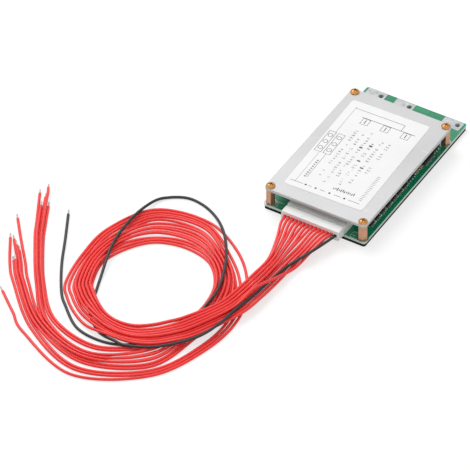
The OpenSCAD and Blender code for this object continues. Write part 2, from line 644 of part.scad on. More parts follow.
module plug_housing() color("#f3f3f1") placed(pole_z) difference() {
    union() {
        // Part inside the header, and the bare neck
        translate([connector_x, header_y + (plug_l - neck_l) / 2, -plug_h / 2])
            block([plug_w, plug_l + neck_l, plug_h]);
        for (m = [-1, 1]) translate([connector_x + m * rib_x, header_y + (rib_l - neck_l) / 2])
            block([rib_w, rib_l + neck_l, header_h / 2]);
        // Grip
        translate([connector_x, header_y - neck_l - grip_l / 2, -header_h / 2])
            rotate([90, 0, 0]) linear_extrude(grip_l, center = true)
                broken_profile(header_w, header_h, grip_edge);
    }
    at_poles() {
        // Cavity, and the window in the mating end that a pin enters by
        translate([0, header_y + plug_l - plug_face, -cavity_w / 2]) mirror([0, 1, 0])
            translate([-cavity_w / 2, 0]) cube([cavity_w, plug_l + neck_l + grip_l, cavity_w]);
        translate([0, header_y + plug_l, -pin_w / 2 - contact_gap])
            block([pin_w + 2 * contact_gap, 2 * over, pin_w + 2 * contact_gap]);
    }
}

// A box that grips the pin, a crimped barrel and a cup round the end of the insulation
module crimp_contacts() color("#d8d4c8") placed(pole_z) at_poles() {
    side = cavity_w - 2 * contact_gap;
    grip_y = contact_rear_y + contact_floor;
    cup_y = wire_end_y + cup_floor;
    difference() {
        union() {
            translate([0, (contact_front_y + contact_rear_y) / 2, -side / 2])
                block([side, contact_l, side]);
            translate([0, cup_y]) rotate([-90, 0, 0])
                cylinder(d = barrel_d, h = contact_rear_y - cup_y);
            translate([0, cup_y]) rotate([90, 0, 0]) cylinder(d = side, h = cup_l);
        }
        translate([0, (contact_front_y + over + grip_y) / 2, -pin_w / 2])
            block([pin_w, contact_front_y + over - grip_y, pin_w]);
        translate([0, wire_end_y]) rotate([90, 0, 0])
            cylinder(d = wire_d + 2 * wire_gap, h = cup_l + over);
    }
}

// ---- Transistors, which lie on their backs against the silicone sheet

// Tab and leads of one transistor, from the line where the rows meet
module fet_frame() {
    hold_y = tab_l + fet_l - lead_hold;
    bend_y = lead_row_y - lead_bend_r;
    lead_z = sheet_z - lead_drop;
    difference() {
        union() {
            translate([0, (tab_l + tab_gap / 2) / 2, sheet_z - tab_t])
                block([fet_w, tab_l - tab_gap / 2, tab_t]);
            translate([0, (tab_l + hold_y) / 2, sheet_z - tab_t])
                block([fet_w - 2 * tab_side, hold_y - tab_l, tab_t]);
        }
        translate([0, tab_hole_in, sheet_z - tab_t]) bore(tab_hole_d, tab_t);
    }
    // The middle lead is one piece with the tab
    translate([0, hold_y - lead_w / 2, lead_z]) block([lead_w, lead_w, lead_drop]);
    translate([0, hold_y, lead_z - lead_t / 2]) block([lead_w, lead_w, lead_t]);
    at_leads() {
        translate([0, (hold_y + bend_y) / 2, lead_z - lead_t / 2])
            block([lead_w, bend_y - hold_y, lead_t]);
        translate([0, bend_y, lead_z - lead_bend_r]) quarter_bend(lead_w, lead_t, lead_bend_r);
        translate([0, lead_row_y, foam_t - lead_out])
            block([lead_w, lead_t, lead_z - lead_bend_r - foam_t + lead_out]);
    }
}

module mosfet_frames() color("#c4c4c4") placed(0) at_fets() fet_frame();

module mosfet_bodies() color("#1c1c1e") placed(0) at_fets() difference() {
    translate([0, tab_l + fet_l / 2, sheet_z]) mirror([0, 0, 1])
        moulded([fet_w, fet_l, fet_t], fet_draw);
    fet_frame();
}

// ---- Small parts

// Resistor or capacitor with its end caps at +X and -X
module capped(size) {
    block([size.x, size.y - 2 * cap_proud, size.z - cap_proud]);
    for (m = [-1, 1]) translate([m * (size.x - cap_l) / 2, 0]) block([cap_l, size.y, size.z]);
}

// The same, with its ends along the board
module capped_along(size) rotate(90) capped([size.y, size.x, size.z]);

// Body of a chip, just clear of the board
module chip(size) translate([0, 0, chip_gap]) moulded(size, chip_draw);

// Row of n bent leads at spacing p along the +X side of a chip
module wings(size, n, p) {
    z = chip_gap + size.z * chip_rise;
    for (i = [0 : n - 1]) translate([size.x / 2, (i - (n - 1) / 2) * p])
        rotate([90, 0, 0]) linear_extrude(wing_w, center = true) polygon([
            [0, z], [wing_out, z], [wing_out, wing_t], [wing_out + wing_foot, wing_t],
            [wing_out + wing_foot, 0], [wing_out - wing_t, 0],
            [wing_out - wing_t, z - wing_t], [0, z - wing_t]
        ]);
}

module wings_both(size, n, p) for (a = [0, 180]) rotate(a) wings(size, n, p);

module shunt_resistors() color("#3a3a3a") placed(top_z)
    for (x = shunt_columns) translate([x, back_row_y]) capped_along(shunt);

module protection_diodes() color("#232325") placed(top_z)
    for (x = diode_columns) translate([x, back_row_y]) moulded(diode, chip_draw);

module cell_chips() color("#202022") placed(top_z) at_cells([0, 0]) chip(six_lead_chip);

module cell_transistors() color("#202022") placed(top_z) at_cells(transistor_at)
    chip(three_lead_chip);

module bleed_resistors() color("#2c2c2e") placed(top_z) at_cells(bleed_at)
    capped_along(bleed_resistor);

module chip_resistors() color("#2c2c2e") placed(top_z) {
    for (place = resistors_at) at_cells(place) capped(small_resistor);
    for (n = edge_resistors) translate([edge_x, edge_y(n)]) capped(small_resistor);
}

module chip_capacitors() color("#b59a78") placed(top_z) {
    at_cells(capacitor_at) capped(small_capacitor);
    for (n = edge_capacitors) translate([edge_x, edge_y(n)]) capped_along(edge_capacitor);
}

module controller_chips() color("#202022") placed(top_z) {
    translate(controller_place) chip(controller);
    at_each(driver_places) chip(driver);
    at_each(amplifier_places) chip(amplifier);
}

module chip_leads() color("#c9c9c9") placed(top_z) {
    at_cells([0, 0]) wings_both(six_lead_chip, 3, 0.95);
    at_cells(transistor_at) {
        wings(three_lead_chip, 2, 1.9);
        rotate(180) wings(three_lead_chip, 1, 1.9);
    }
    translate(controller_place) for (a = [0, 90]) rotate(a) wings_both(controller, 8, 0.8);
    at_each(driver_places) wings_both(driver, 8, 1.27);
    at_each(amplifier_places) wings_both(amplifier, 4, 1.27);
}

// ---- Wires

module wire(i) tube(wire_route(i), wire_d);

module red_wire_1() color("#e8322c") wire(0);
module red_wire_2() color("#e8322c") wire(1);
module red_wire_3() color("#e8322c") wire(2);
module red_wire_4() color("#e8322c") wire(3);
module red_wire_5() color("#e8322c") wire(4);
module red_wire_6() color("#e8322c") wire(5);
module red_wire_7() color("#e8322c") wire(6);
module red_wire_8() color("#e8322c") wire(7);
module red_wire_9() color("#e8322c") wire(8);
module red_wire_10() color("#e8322c") wire(9);
module red_wire_11() color("#e8322c") wire(10);
module red_wire_12() color("#e8322c") wire(11);
module red_wire_13() color("#e8322c") wire(12);
module black_wire() color("#1a1a1a") wire(13);

// Bare strands at the wires' free ends
module tinned_ends() color("#cfcfcf") for (i = [0 : len(red_tails)]) {
    route = wire_route(i);
    end = route[len(route) - 1];
    along = unit(end - route[len(route) - 2]);
    translate(end) rotate([0, acos(along.z), atan2(along.y, along.x)])
        cylinder(d = strand_d, h = strand_l);
}

foam_pad();
circuit_board();
solder_pads();
standoffs();
board_screws();
heatsink_plate();
plate_screws();
label();
silicone_sheet();
connector_header();
header_pins();
plug_housing();
crimp_contacts();
mosfet_bodies();
mosfet_frames();
shunt_resistors();
cell_chips();
cell_transistors();
bleed_resistors();
chip_resistors();
chip_capacitors();
controller_chips();
chip_leads();
protection_diodes();
red_wire_1();
red_wire_2();
red_wire_3();
red_wire_4();
red_wire_5();
red_wire_6();
red_wire_7();
red_wire_8();
red_wire_9();
red_wire_10();
red_wire_11();
red_wire_12();
red_wire_13();
black_wire();
tinned_ends();
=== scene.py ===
import math
import random

import bpy
import numpy as np
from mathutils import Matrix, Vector


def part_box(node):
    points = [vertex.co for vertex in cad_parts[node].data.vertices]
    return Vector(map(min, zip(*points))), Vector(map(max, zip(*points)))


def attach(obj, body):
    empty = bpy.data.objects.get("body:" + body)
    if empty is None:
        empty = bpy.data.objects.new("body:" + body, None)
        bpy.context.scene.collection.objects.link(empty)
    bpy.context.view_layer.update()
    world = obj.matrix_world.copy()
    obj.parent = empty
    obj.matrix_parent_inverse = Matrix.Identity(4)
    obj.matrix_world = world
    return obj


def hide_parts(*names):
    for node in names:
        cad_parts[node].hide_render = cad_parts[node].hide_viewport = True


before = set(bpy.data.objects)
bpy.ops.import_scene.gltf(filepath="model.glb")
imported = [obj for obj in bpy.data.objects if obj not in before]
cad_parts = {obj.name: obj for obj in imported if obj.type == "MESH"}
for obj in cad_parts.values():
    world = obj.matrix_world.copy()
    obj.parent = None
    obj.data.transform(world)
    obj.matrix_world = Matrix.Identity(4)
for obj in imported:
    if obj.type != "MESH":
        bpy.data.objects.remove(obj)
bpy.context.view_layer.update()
MM = 0.001

# ---- Camera: a long lens, so that the board's edges stay nearly parallel

CAMERA_TURN, CAMERA_RISE = math.radians(30.74), math.radians(41.68)
CAMERA_FAR = 3.0
CAMERA_AIM = Vector((-34.96, -84.33, 0)) * MM


def place_camera():
    data = bpy.data.cameras.new("camera")
    data.lens, data.sensor_width = 408.3, 36
    data.clip_start, data.clip_end = 0.1, 20
    camera = bpy.data.objects.new("camera", data)
    away = Vector((
        math.sin(CAMERA_TURN) * math.cos(CAMERA_RISE),
        -math.cos(CAMERA_TURN) * math.cos(CAMERA_RISE),
        math.sin(CAMERA_RISE),
    ))
    camera.location = CAMERA_AIM + CAMERA_FAR * away
    camera.rotation_euler = away.to_track_quat("Z", "Y").to_euler()
    bpy.context.collection.objects.link(camera)
    bpy.context.scene.camera = camera


place_camera()

# ---- Building blocks


def add(tree, kind, inputs=None, **settings):
    """Adds a node, sets its options, then sets or links its inputs."""
    made = tree.nodes.new(kind)
    for key, value in settings.items():
        setattr(made, key, value)
    for key, value in (inputs or {}).items():
        if isinstance(value, bpy.types.NodeSocket):
            tree.links.new(value, made.inputs[key])
        else:
            made.inputs[key].default_value = value
    return made


def new_object(name, mesh):
    thing = bpy.data.objects.new(name, mesh)
    bpy.context.collection.objects.link(thing)
    return thing


def mesh_of(name, points, edges=(), faces=()):
    mesh = bpy.data.meshes.new(name)
    mesh.from_pydata([tuple(p) for p in points], list(edges), list(faces))
    return mesh


def geometry_tree(name, inputs):
    """Starts a Geometry Nodes tree with one geometry in, the named inputs and one geometry out."""
    tree = bpy.data.node_groups.new(name, "GeometryNodeTree")
    for label, kind in [("Geometry", "Geometry"), *inputs]:
        tree.interface.new_socket(label, in_out="INPUT", socket_type="NodeSocket" + kind)
    tree.interface.new_socket("Geometry", in_out="OUTPUT", socket_type="NodeSocketGeometry")
    return tree, add(tree, "NodeGroupInput").outputs


def close_tree(tree, geometry, finish):
    """Ends a tree in Realize Instances and Set Material."""
    real = add(tree, "GeometryNodeRealizeInstances", {"Geometry": geometry})
    painted = add(tree, "GeometryNodeSetMaterial",
                  {"Geometry": real.outputs[0], "Material": finish})
    add(tree, "NodeGroupOutput", {"Geometry": painted.outputs[0]})
    return tree


# Edges that turn by more than this stay sharp
SHARP_EDGE = math.radians(35)


def grown(name, source, tree, **values):
    """Runs a tree on a source mesh and returns the result as a plain mesh object."""
    modifier = source.modifiers.new("grow", "NODES")
    modifier.node_group = tree
    for item in tree.interface.items_tree:
        if item.in_out == "INPUT" and item.name in values:
            modifier[item.identifier] = values[item.name]
    evaluated = source.evaluated_get(bpy.context.evaluated_depsgraph_get())
    mesh = bpy.data.meshes.new_from_object(evaluated)
    bpy.data.objects.remove(source)
    mesh.name = name
    mesh.polygons.foreach_set("use_smooth", [True] * len(mesh.polygons))
    mesh.set_sharp_from_angle(angle=SHARP_EDGE)
    return new_object(name, mesh)


def keep(piece):
    """A finished piece rides on the object's one body."""
    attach(piece, "root")
    return piece


def strand_tree():
    """Round strand along each line of a mesh, narrowed from place to place by its width."""
    tree, given = geometry_tree("round_strand", [
        ("Radius", "Float"), ("Sides", "Int"), ("Finish", "Material")])
    line = add(tree, "GeometryNodeMeshToCurve", {"Mesh": given["Geometry"]})
    ring = add(tree, "GeometryNodeCurvePrimitiveCircle",
               {"Resolution": given["Sides"], "Radius": given["Radius"]}, mode="RADIUS")
    width = add(tree, "GeometryNodeInputNamedAttribute", {"Name": "width"}, data_type="FLOAT")
    swept = add(tree, "GeometryNodeCurveToMesh", {
        "Curve": line.outputs[0], "Profile Curve": ring.outputs[0],
        "Scale": width.outputs[0], "Fill Caps": True})
    return close_tree(tree, swept.outputs[0], given["Finish"])


def stamp_tree():
    """One stamp on each point, with the point's size and turn and a seeded spread."""
    tree, given = geometry_tree("set_out_stamps", [
        ("Stamp", "Object"), ("Spread", "Float"), ("Seed", "Int"), ("Finish", "Material")])
    stamp = add(tree, "GeometryNodeObjectInfo", {"Object": given["Stamp"]})
    size = add(tree, "GeometryNodeInputNamedAttribute", {"Name": "size"},
               data_type="FLOAT_VECTOR")
    turn = add(tree, "GeometryNodeInputNamedAttribute", {"Name": "turn"}, data_type="FLOAT")
    low = add(tree, "ShaderNodeMath", {0: 1.0, 1: given["Spread"]}, operation="SUBTRACT")
    high = add(tree, "ShaderNodeMath", {0: 1.0, 1: given["Spread"]}, operation="ADD")
    change = add(tree, "FunctionNodeRandomValue", {
        2: low.outputs[0], 3: high.outputs[0], "Seed": given["Seed"]}, data_type="FLOAT")
    scale = add(tree, "ShaderNodeVectorMath", {
        0: size.outputs[0], "Scale": change.outputs[1]}, operation="SCALE")
    angles = add(tree, "ShaderNodeCombineXYZ", {"Z": turn.outputs[0]})
    turned = add(tree, "FunctionNodeEulerToRotation", {0: angles.outputs[0]})
    set_out = add(tree, "GeometryNodeInstanceOnPoints", {
        "Points": given["Geometry"], "Instance": stamp.outputs["Geometry"],
        "Rotation": turned.outputs[0], "Scale": scale.outputs[0]})
    return close_tree(tree, set_out.outputs[0], given["Finish"])


def lines_source(name, lines, end_width):
    """Mesh of open lines, each a list of points, that narrow to end_width at their last point."""
    points, edges, widths = [], [], []
    for line in lines:
        start = len(points)
        points += line
        edges += [(start + i, start + i + 1) for i in range(len(line) - 1)]
        widths += [1.0] * (len(line) - 1) + [end_width]
    source = new_object(name, mesh_of(name, points, edges))
    source.data.attributes.new("width", "FLOAT", "POINT").data.foreach_set("value", widths)
    return source


def stamps(name, stamp, marks, finish, spread=0.0, seed=1):
    """A piece of many stamps. A mark is (x, y, z, size x, size y, size z, turn), in metres."""
    source = new_object(name + "_points", mesh_of(name, [m[:3] for m in marks]))
    attributes = source.data.attributes
    attributes.new("size", "FLOAT_VECTOR", "POINT").data.foreach_set(
        "vector", [x for m in marks for x in m[3:6]])
    attributes.new("turn", "FLOAT", "POINT").data.foreach_set("value", [m[6] for m in marks])
    return keep(grown(name, source, STAMP_TREE, Stamp=stamp, Spread=spread, Seed=seed,
                      Finish=finish))


# ---- Materials


def shader_group(name, inputs, outputs):
    tree = bpy.data.node_groups.new(name, "ShaderNodeTree")
    for label, value in inputs.items():
        kind = "NodeSocketVector" if isinstance(value, tuple) else "NodeSocketFloat"
        made = tree.interface.new_socket(label, in_out="INPUT", socket_type=kind)
        made.default_value = value
    for label, kind in outputs.items():
        tree.interface.new_socket(label, in_out="OUTPUT", socket_type=kind)
    return tree, add(tree, "NodeGroupInput").outputs


def uneven_group():
    """Soft cloudy mask from 0 to 1, for a colour or gloss that is never quite even."""
    tree, given = shader_group("uneven", {"Scale": 100.0, "Spread": 0.3},
                               {"Mask": "NodeSocketFloat"})
    place = add(tree, "ShaderNodeTexCoord")
    cloud = add(tree, "ShaderNodeTexNoise", {
        "Vector": place.outputs["Object"], "Scale": given["Scale"], "Detail": 4.0,
        "Roughness": 0.6})
    low = add(tree, "ShaderNodeMath", {0: 0.5, 1: given["Spread"]}, operation="SUBTRACT")
    high = add(tree, "ShaderNodeMath", {0: 0.5, 1: given["Spread"]}, operation="ADD")
    mask = add(tree, "ShaderNodeMapRange", {
        "Value": cloud.outputs[0], "From Min": low.outputs[0], "From Max": high.outputs[0]})
    add(tree, "NodeGroupOutput", {"Mask": mask.outputs[0]})
    return tree


def relief_group():
    """Fine relief: grain that may be stretched along the axes."""
    tree, given = shader_group(
        "relief", {"Scale": 1000.0, "Strength": 0.2, "Depth": 0.0001, "Stretch": (1, 1, 1)},
        {"Normal": "NodeSocketVector"})
    place = add(tree, "ShaderNodeTexCoord")
    stretched = add(tree, "ShaderNodeVectorMath", {
        0: place.outputs["Object"], 1: given["Stretch"]}, operation="MULTIPLY")
    grain = add(tree, "ShaderNodeTexNoise", {
        "Vector": stretched.outputs[0], "Scale": given["Scale"], "Detail": 3.0})
    bump = add(tree, "ShaderNodeBump", {
        "Strength": given["Strength"], "Distance": given["Depth"], "Height": grain.outputs[0]})
    add(tree, "NodeGroupOutput", {"Normal": bump.outputs[0]})
    return tree


def linear(code):
    """Linear colour of a written sRGB one such as e8322c."""
    parts = [int(code[i:i + 2], 16) / 255 for i in (0, 2, 4)]
    return [c / 12.92 if c <= 0.04045 else ((c + 0.055) / 1.055) ** 2.4 for c in parts] + [1.0]


UNEVEN, RELIEF = uneven_group(), relief_group()


class Finish:
    """A material on one Principled BSDF: two tones, uneven gloss and fine relief.

    relief is the scale, strength and depth of the grain. The plain values are for the shader's
    own sockets.
    """

    def __init__(self, name, tones, gloss, tone_scale, relief, stretch=(1, 1, 1), **plain):
        self.material = bpy.data.materials.new(name)
        self.material.use_nodes = True
        self.tree = self.material.node_tree
        self.shader = self.tree.nodes["Principled BSDF"]
        cloud = self.add("ShaderNodeGroup", {"Scale": tone_scale, "Spread": 0.25},
                         node_tree=UNEVEN)
        patchy = self.add("ShaderNodeGroup", {"Scale": tone_scale * 2.3, "Spread": 0.3},
                          node_tree=UNEVEN)
        rough = self.add("ShaderNodeMapRange", {
            "Value": patchy.outputs[0], "To Min": gloss[0], "To Max": gloss[1]})
        grain = self.add("ShaderNodeGroup", {
            "Scale": relief[0], "Strength": relief[1], "Depth": relief[2], "Stretch": stretch},
            node_tree=RELIEF)
        self.tree.links.new(rough.outputs[0], self.shader.inputs["Roughness"])
        self.tree.links.new(grain.outputs["Normal"], self.shader.inputs["Normal"])
        for key, value in plain.items():
            socket = key.replace("_", " ").title().replace("Ior", "IOR")
            self.shader.inputs[socket].default_value = value
        self.show(self.mix(cloud.outputs[0], linear(tones[0]), linear(tones[1])))

    def add(self, kind, inputs=None, **settings):
        return add(self.tree, kind, inputs, **settings)

    def mix(self, mask, low, high):
        """Colour low where the mask is 0 and high where it is 1."""
        return self.add("ShaderNodeMix", {0: mask, 6: low, 7: high}, data_type="RGBA").outputs[2]

    def show(self, colour):
        self.colour = colour
        self.tree.links.new(colour, self.shader.inputs["Base Color"])

    def over(self, mask, strength, code):
        """Lays a plain colour over what is there, at that strength where the mask is 1."""
        self.show(self.mix(self.math("MULTIPLY", mask, strength), self.colour, linear(code)))

    def math(self, operation, a, b=0.0):
        return self.add("ShaderNodeMath", {0: a, 1: b}, operation=operation).outputs[0]

    def place(self):
        return self.add("ShaderNodeTexCoord").outputs["Object"]

    def facing(self):
        """1 on faces that look up or down and 0 on the sides."""
        axes = self.add("ShaderNodeSeparateXYZ", {
            0: self.add("ShaderNodeNewGeometry").outputs["Normal"]})
        return self.math("GREATER_THAN", self.math("ABSOLUTE", axes.outputs["Z"]), 0.7)


def foam_finish():
    """Closed-cell foam: tiny round cells, each with a small painted highlight where it catches a
    little light.
    """
    finish = Finish("black_foam", ("0c0c0c", "191919"), (0.85, 0.98), 120, (2600, 0.6, 0.0002),
                    specular_ior_level=0.25)
    glint_cells = finish.add("ShaderNodeTexVoronoi", {"Vector": finish.place(), "Scale": 1700.0})
    # Painted highlight: a lighter grey laid over the cells as glints of light
    finish.over(finish.math("LESS_THAN", glint_cells.outputs["Distance"], 0.22), 0.35, "3a3a3a")
    return finish


def board_finish():
    """Green lacquer over copper areas and their gaps, and pale glass laminate on the cut edges."""
    finish = Finish("green_board", ("0c8a60", "14a672"), (0.25, 0.36), 40, (900, 0.08, 0.00006),
                    coat_weight=0.25, coat_roughness=0.2)
    copper = finish.add("ShaderNodeTexBrick", {
        "Vector": finish.place(), "Color1": (1, 1, 1, 1), "Color2": (0.6, 0.6, 0.6, 1),
        "Mortar": (0, 0, 0, 1), "Scale": 1.0, "Mortar Size": 0.00018, "Brick Width": 0.0093,
        "Row Height": 0.0031, "Bias": 0.1}, offset=0.37, squash=0.6, squash_frequency=3)
    gap = finish.math("SUBTRACT", 1.0, copper.outputs["Color"])
    finish.over(gap, 0.55, "064c36")
    dots = finish.add("ShaderNodeTexVoronoi", {"Vector": finish.place(), "Scale": 260.0,
                                               "Randomness": 0.8})
    finish.over(finish.math("LESS_THAN", dots.outputs["Distance"], 0.085), 0.5, "5fc79f")
    layers = finish.add("ShaderNodeTexWave", {
        "Vector": finish.place(), "Scale": 900.0, "Distortion": 1.5, "Detail": 2.0},
        bands_direction="Z")
    edge = finish.mix(layers.outputs["Fac"], linear("a9c6b8"), linear("cfe3d9"))
    finish.show(finish.mix(finish.facing(), edge, finish.colour))
    return finish


def plate_finish():
    """Rolled aluminium sheet: even grey with fine rolling lines and a few faint scuffs."""
    finish = Finish("satin_aluminium", ("b0b0b1", "b9b9ba"), (0.42, 0.52), 25,
                    (2200, 0.12, 0.00004), stretch=(1, 0.06, 1), metallic=0.85)
    scuffs = finish.add("ShaderNodeTexNoise", {
        "Vector": finish.add("ShaderNodeMapping", {
            "Vector": finish.place(), "Rotation": (0, 0, 0.5), "Scale": (40, 900, 40)}).outputs[0],
        "Scale": 1.0, "Detail": 2.0})
    finish.over(finish.math("GREATER_THAN", scuffs.outputs[0], 0.72), 0.35, "ebebeb")
    return finish


def standoff_finish():
    """Turned brass with the lathe's fine rings."""
    finish = Finish("turned_brass", ("b98b72", "d0a284"), (0.28, 0.42), 300, (2500, 0.1, 0.00004),
                    metallic=0.9)
    rings = finish.add("ShaderNodeTexWave", {
        "Vector": finish.place(), "Scale": 1100.0, "Distortion": 0.4}, bands_direction="Z")
    finish.over(rings.outputs["Fac"], 0.3, "9c6c50")
    return finish


def label_finish():
    """Coated paper with faint fibres."""
    finish = Finish("label_paper", ("f1f1f2", "f7f7f7"), (0.4, 0.55), 60, (1800, 0.06, 0.00003),
                    stretch=(1, 0.3, 1))
    fibres = finish.add("ShaderNodeTexNoise", {
        "Vector": finish.place(), "Scale": 2400.0, "Detail": 2.0, "Distortion": 1.5})
    finish.over(finish.math("GREATER_THAN", fibres.outputs[0], 0.68), 0.4, "e6e6e4")
    return finish


def tinned_finish(name, tones, gloss):
    """Solder that has flowed and set: soft lumps, bright and dull patches."""
    finish = Finish(name, tones, gloss, 260, (420, 0.5, 0.0002), metallic=0.9)
    pits = finish.add("ShaderNodeTexVoronoi", {"Vector": finish.place(), "Scale": 900.0})
    finish.over(finish.math("LESS_THAN", pits.outputs["Distance"], 0.12), 0.4, "77787a")
    return finish


FINISH = {
    "foam": foam_finish(),
    "board": board_finish(),
    "plate": plate_finish(),
    "standoff": standoff_finish(),
    "paper": label_finish(),
    "tinned": tinned_finish("tinned_copper", ("9c9d9f", "bfc0c2"), (0.28, 0.5)),
    "solder": tinned_finish("bright_solder", ("a8a9ab", "d4d5d6"), (0.2, 0.35)),
    "strand": Finish("tinned_strand", ("b9b4ae", "dcd9d4"), (0.25, 0.4), 500,
                     (2500, 0.25, 0.00005), metallic=0.8),
    "screw": Finish("brass_screw", ("a9743c", "cf9c60"), (0.22, 0.4), 420, (1500, 0.3, 0.00005),
                    metallic=0.95),
    "nylon": Finish("white_nylon", ("efefed", "f7f7f5"), (0.38, 0.5), 90, (1400, 0.1, 0.00004),
                    subsurface_weight=0.08, subsurface_scale=0.001),
    "silicone": Finish("grey_silicone", ("8b9596", "9aa4a4"), (0.6, 0.75), 150,
                       (1800, 0.3, 0.0001)),
    "epoxy": Finish("black_epoxy", ("161617", "232325"), (0.45, 0.62), 300, (3800, 0.35, 0.00005)),
    "resistor": Finish("resistor_glaze", ("1b1b1d", "2c2c30"), (0.25, 0.4), 500,
                       (2600, 0.2, 0.00004)),
    "ceramic": Finish("tan_ceramic", ("a98c68", "c2a884"), (0.4, 0.55), 500, (2600, 0.25, 0.00005)),
    "red": Finish("red_insulation", ("ee2a28", "fb3c39"), (0.3, 0.42), 55, (700, 0.12, 0.00008),
                  specular_ior_level=0.5),
    "black": Finish("black_insulation", ("141415", "222224"), (0.32, 0.45), 55,
                    (700, 0.12, 0.00008)),
    "ink": Finish("black_ink", ("202022", "38383a"), (0.5, 0.65), 700, (2500, 0.1, 0.00003)),
    "faint": Finish("grey_ink", ("5a5a5c", "77777a"), (0.5, 0.65), 700, (2500, 0.1, 0.00003)),
    "legend": Finish("white_legend", ("dfeee8", "f2faf6"), (0.5, 0.65), 500, (2500, 0.2, 0.00003)),
}
PAINT = {key: finish.material for key, finish in FINISH.items()}
STRAND_TREE, STAMP_TREE = strand_tree(), stamp_tree()

# ---- Wires. Places are in millimetres from the middle of the board's connector edge, and
# heights are those of a wire's centre above that of a wire lying flat on the table.

board_low, board_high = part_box("circuit_board")
FRONT_Y, BOARD_TOP = board_low[1], board_high[2]
WIRE_D = 1.7
# Bare strands: six round a middle one, with a twist in radians a millimetre
TIP_D, TIP_L = 1.0, 4.0
ROUND_STRANDS, TIP_STEPS, TIP_TWIST = 6, 12, 0.75
TIP_SIDES, TIP_START = 7, 0.2
# Where the wires leave the plug, and how far they reach into it
EXIT_Y, EXIT_Z, REACH_IN = -6.5, 6.75, 3.5
PITCH, POLES, CONNECTOR_X = 2.5, 14, 1.2
WIRE_STEP = 1.0
WIRE_SIDES = 16
CUT_END_WIDTH = 0.94
# Middle of the loop, and the cuts across the red wires: a point and a direction in degrees
LOOP = (-53, -87)
CUTS = [(0, -13, 0), (0, -24, 0), (0, -38, 0), (0, -54, 0), (0, -70, 0)] + [
    (*LOOP, turn) for turn in (
        0, -30, -45, -60, -75, -90, -105, -120, -135, -150, -180, -210, -240, -270, -300, -330,
        -360, -390, -420, -450, -480)]
# Distance of each red wire along each cut
LANES = [
    (-14, -11.7, -9.4, -7.1, -4.8, -2.5, -0.2, 2.1, 4.4, 6.7, 9, 11.3, 13.5),
    (-10.2, -8.5, -6.8, -5.1, -3.4, -1.7, 0, 1.8, 3.6, 5.6, 7.6, 9.6, 11.5),
    (-7.4, -6.4, -5.3, -4.3, -3.2, -2.2, -1.1, -0.1, 1, 3.1, 5.2, 7.3, 9.3),
    (-7.4, -6.3, -5.3, -4.2, -3.2, -2.1, -1.1, 0, 1, 3.1, 5.2, 7.3, 6.3),
    (-8, -7, -5.9, -4.9, -3.8, -2.8, -1.7, -0.7, 0.4, 2.5, 4.6, 6.7, 2),
    (42, 43.1, 44.1, 45.2, 46.2, 47.3, 48.3, 49.4, 50.4, 52.5, 54.6, 56.7, 51.4),
    (37.4, 38.5, 39.7, 40.8, 41.8, 42.9, 43.9, 45, 46, 48.1, 50.2, 52.3, 47.1),
    (37, 38.1, 40.5, 41.5, 42.5, 43.5, 44.5, 45.5, 46.5, 48.5, 50.4, 52.3, 47.5),
    (36.8, 37.9, 40.4, 41.4, 42.4, 43.4, 44.3, 45.3, 46.2, 48.1, 50, 51.9, 47.2),
    (36.7, 37.8, 39.8, 40.8, 41.8, 42.8, 43.7, 44.7, 45.6, 47.5, 49.4, 51.3, 46.6),
    (36.9, 38, 39.1, 40.1, 41.1, 42.1, 43.1, 44.1, 45.1, 47.1, 49.1, 51.1, 46.1),
    (35.8, 36.8, 37.8, 38.8, 39.8, 40.8, 41.8, 42.8, 43.8, 45.8, 47.8, 50.8, 44.8),
    (34.7, 35.7, 36.7, 37.7, 38.7, 39.7, 40.7, 41.7, 42.7, 44.6, 46.6, 49.6, 43.7),
    (34, 35, 36, 37, 38, 39, 40, 41, 42, 44, 46.2, 49, 43),
    (33.8, 34.8, 35.8, 36.8, 37.8, 38.8, 39.8, 40.8, 41.8, 43.8, 46.4, 48.7, 42.8),
    (33.2, 34.2, 35.1, 36.1, 37, 38, 38.9, 39.9, 40.8, 42.7, 44.6, 46.5, 41.8),
    (32.5, 34.7, 37.3, 38.4, 39.4, 40.5, 41.5, 42.6, 43.6, 48.6, 50.6, 52.6, 45.6),
    (34.2, 36.1, 38, 41.6, 43.5, 45.4, 47.3, 49.2, 53.4, 57.5, 59.7, 62, 55.4),
    (34.6, 36.5, 39.2, 41.1, 43, 44.9, 47.4, 49.3, 51.2, 55.8, 57.7, 59.8, 53.9),
    (35.6, 36.7, 37.8, 38.9, 40, 41.1, 42.2, 43.3, 44.4, 46.6, 48.8, 54, 45.5),
    (34.4, 35.5, 36.6, 37.7, 38.8, 40, 41.1, 42.3, 43.5, 46, 48.5, 52.4, 44.8),
    (33.9, 35, 36.1, 37.3, 38.5, 39.8, 41.1, 42.5, 43.8, 51, 53.3, 55.7, 46.3),
    (37.2, 39.4, 41.6, 42.7, 43.7, 44.8, 45.8, 46.9, 47.9, 57.6, 59.6, 61.7, 50.3),
    (49.2, 51.3, 53.3, 55.3, 57.3, 59.3, 61.3, 63.3, 65.4, 71, 73.1, 75.3, 67.9),
    (59.8, 61.8, 66.5, 67.6, 68.6, 69.7, 70.7, 71.8, 72.9, 79.6, 81.7, 86.1, 75),
    (61.5, 63.5, 65.6, 66.7, 67.8, 68.9, 70, 71.1, 72.2, 74.4, 76.5, 81.6, 73.3),
]
